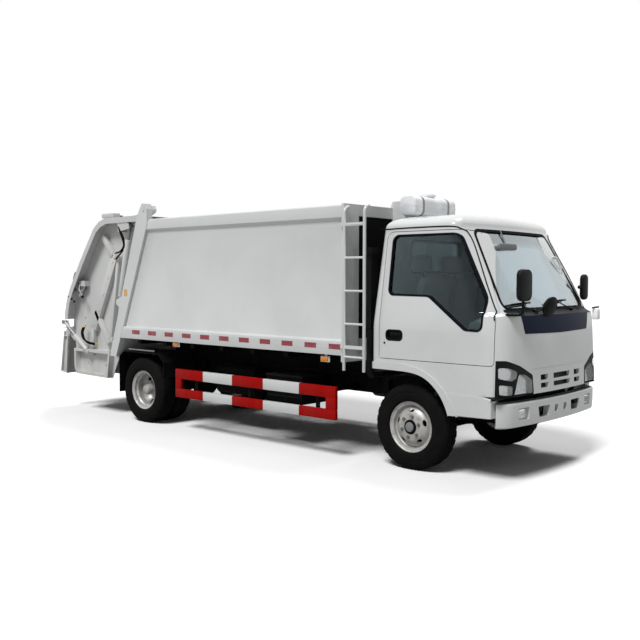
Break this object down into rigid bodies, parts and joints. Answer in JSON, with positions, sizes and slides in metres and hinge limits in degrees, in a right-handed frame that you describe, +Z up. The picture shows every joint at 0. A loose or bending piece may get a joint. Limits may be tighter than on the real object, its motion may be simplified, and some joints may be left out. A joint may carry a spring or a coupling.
{
  "type": "rear-loading garbage truck",
  "caption": "Small rear-loading refuse compactor truck with tilting cab, lifting tailgate, packer plate, sweep blade, ejector plate and bin lifter.",
  "frame": {"origin": "on the ground under the middle of the whole vehicle's box", "axes": "+X towards the cab, +Y to the vehicle's left, +Z up"},
  "size_m": [6.779, 2.091, 2.568],
  "materials": {
    "white_paint": "gloss",
    "black_paint": "satin",
    "red_paint": "satin",
    "bare_steel": "satin",
    "chrome_rod": "polished",
    "silver_paint": "satin",
    "tyre": "matt",
    "glass": "clear",
    "black_plastic": "grained",
    "grey_fabric": "woven",
    "white_plastic": "moulded",
    "grey_plastic": "grained",
    "cast_grey": "cast"
  },
  "bodies": {
    "chassis": {"frame_rails": "black_paint", "engine": "cast_grey", "front_axle": "black_paint", "rear_axle": "black_paint", "driveshaft": "black_paint", "fuel_tank": "black_paint", "battery_box": "black_paint", "air_tanks": "black_paint", "silencer": "bare_steel", "side_guards": "red_paint", "rear_mudguards": "black_paint", "front_bumper": "white_paint", "container_shell": "white_paint", "container_front": "white_paint", "rear_posts": "white_paint", "ladder": "white_paint", "water_tank": "white_plastic", "intake_snorkel": "black_paint"},
    "ejector": {"ejector_plate": "white_paint"},
    "tailgate": {"tailgate_sides": "white_paint", "tailgate_hood": "white_paint", "hopper_bowl": "white_paint", "packer_barrels": "white_paint", "control_levers": "black_paint"},
    "lift_barrel_pair": {"lift_barrels": "white_paint"},
    "lift_rod_pair": {"lift_rods": "chrome_rod"},
    "packer": {"packer_plate": "white_paint", "packer_rods": "chrome_rod"},
    "sweep": {"sweep_blade": "white_paint"},
    "sweep_barrel_pair": {"sweep_barrels": "white_paint"},
    "sweep_rod_pair": {"sweep_rods": "chrome_rod"},
    "lifter": {"bin_lifter": "white_paint"},
    "lifter_barrel_pair": {"lifter_barrels": "white_paint"},
    "lifter_rod_pair": {"lifter_rods": "chrome_rod"},
    "cab": {"cab_shell": "white_paint", "cab_glass": "glass", "cab_floor": "grey_plastic", "dashboard": "grey_plastic", "seats": "grey_fabric", "mirror_right": "black_plastic"},
    "steering": {"steering_wheel": "black_plastic"},
    "right_door": {"door_right": "white_paint", "door_glass_right": "glass"},
    "left_door": {"door_left": "white_paint", "door_glass_left": "glass", "mirror_left": "black_plastic"},
    "left_knuckle": {"knuckle_left": "black_paint"},
    "right_knuckle": {"knuckle_right": "black_paint"},
    "front_wheel_left": {"front_rim_left": "silver_paint", "front_tyre_left": "tyre"},
    "front_wheel_right": {"front_rim_right": "silver_paint", "front_tyre_right": "tyre"},
    "rear_wheels_left": {"rear_rims_left": "silver_paint", "rear_tyres_left": "tyre"},
    "rear_wheels_right": {"rear_rims_right": "silver_paint", "rear_tyres_right": "tyre"}
  },
  "joints": [
    {"name": "cab_tilt", "type": "hinge", "parent": "chassis", "child": "cab", "pos_m": [3.33, 0, 0.76], "axis": [0, 1, 0], "range_deg": [0, 45]},
    {"name": "right_door_hinge", "type": "hinge", "parent": "cab", "child": "right_door", "pos_m": [3.209, -0.92, 1.2], "axis": [0, 0, 1], "range_deg": [0, 70]},
    {"name": "left_door_hinge", "type": "hinge", "parent": "cab", "child": "left_door", "pos_m": [3.209, 0.92, 1.2], "axis": [0, 0, -1], "range_deg": [0, 70]},
    {"name": "left_knuckle_steer", "type": "hinge", "parent": "chassis", "child": "left_knuckle", "pos_m": [2.34, 0.668, 0.385], "axis": [0, 0, 1], "range_deg": [-35, 35]},
    {"name": "right_knuckle_steer", "type": "hinge", "parent": "chassis", "child": "right_knuckle", "pos_m": [2.34, -0.668, 0.385], "axis": [0, 0, 1], "range_deg": [-35, 35]},
    {"name": "steering_wheel_turn", "type": "hinge", "parent": "cab", "child": "steering", "pos_m": [2.82, -0.48, 1.29], "axis": [-0.5736, 0, 0.8192], "range_deg": [-565, 565]},
    {"name": "front_wheel_left_spin", "type": "hinge", "parent": "left_knuckle", "child": "front_wheel_left", "pos_m": [2.34, 0.772, 0.385], "axis": [0, 1, 0], "continuous": true},
    {"name": "front_wheel_right_spin", "type": "hinge", "parent": "right_knuckle", "child": "front_wheel_right", "pos_m": [2.34, -0.772, 0.385], "axis": [0, 1, 0], "continuous": true},
    {"name": "rear_wheels_left_spin", "type": "hinge", "parent": "chassis", "child": "rear_wheels_left", "pos_m": [-1.475, 0.736, 0.385], "axis": [0, 1, 0], "continuous": true},
    {"name": "rear_wheels_right_spin", "type": "hinge", "parent": "chassis", "child": "rear_wheels_right", "pos_m": [-1.475, -0.736, 0.385], "axis": [0, 1, 0], "continuous": true},
    {"name": "ejector_slide", "type": "slide", "parent": "chassis", "child": "ejector", "axis": [-1, 0, 0], "range_m": [0, 2.75]},
    {"name": "tailgate_lift", "type": "hinge", "parent": "chassis", "child": "tailgate", "pos_m": [-1.345, 0, 2.5], "axis": [0, 1, 0], "range_deg": [0, 85]},
    {"name": "lift_barrel_swing", "type": "hinge", "parent": "chassis", "child": "lift_barrel_pair", "pos_m": [-1.905, 0, 1.42], "axis": [0, 1, 0], "range_deg": [-5, 6.02]},
    {"name": "lift_rod_slide", "type": "slide", "parent": "lift_barrel_pair", "child": "lift_rod_pair", "axis": [0.2221, 0, 0.975], "range_m": [0, 0.5394]},
    {"name": "packer_slide", "type": "slide", "parent": "tailgate", "child": "packer", "axis": [-0.458, 0, -0.889], "range_m": [0, 0.60003]},
    {"name": "sweep_turn", "type": "hinge", "parent": "packer", "child": "sweep", "pos_m": [-2.2352, 0, 1.5834], "axis": [0, 1, 0], "range_deg": [0, 100]},
    {"name": "sweep_barrel_swing", "type": "hinge", "parent": "packer", "child": "sweep_barrel_pair", "pos_m": [-1.99461, 0, 2.24692], "axis": [0, 1, 0], "range_deg": [0, 11.26]},
    {"name": "sweep_rod_slide", "type": "slide", "parent": "sweep_barrel_pair", "child": "sweep_rod_pair", "axis": [-0.4569, 0, -0.8895], "range_m": [-0.3293, 0]},
    {"name": "bin_lifter_turn", "type": "hinge", "parent": "tailgate", "child": "lifter", "pos_m": [-3.13, 0, 1], "axis": [0, 1, 0], "range_deg": [0, 110]},
    {"name": "lifter_barrel_swing", "type": "hinge", "parent": "tailgate", "child": "lifter_barrel_pair", "pos_m": [-2.64, 0, 0.775], "axis": [0, 1, 0], "range_deg": [0, 1.96]},
    {"name": "lifter_rod_slide", "type": "slide", "parent": "lifter_barrel_pair", "child": "lifter_rod_pair", "axis": [-0.8402, 0, 0.5423], "range_m": [-0.2362, 0]}
  ],
  "couplings": [
    {"joint": "right_knuckle_steer", "follows": "left_knuckle_steer", "ratio": 1},
    {"joint": "steering_wheel_turn", "follows": "left_knuckle_steer", "ratio": 16},
    {"joint": "lift_barrel_swing", "follows": "tailgate_lift", "ratio": 0.012045},
    {"joint": "lift_rod_slide", "follows": "tailgate_lift", "m_per_rad": 0.36225},
    {"joint": "sweep_barrel_swing", "follows": "sweep_turn", "ratio": 0.10256},
    {"joint": "sweep_rod_slide", "follows": "sweep_turn", "m_per_rad": -0.18753},
    {"joint": "lifter_barrel_swing", "follows": "bin_lifter_turn", "ratio": 0.013263},
    {"joint": "lifter_rod_slide", "follows": "bin_lifter_turn", "m_per_rad": -0.12198}
  ]
}
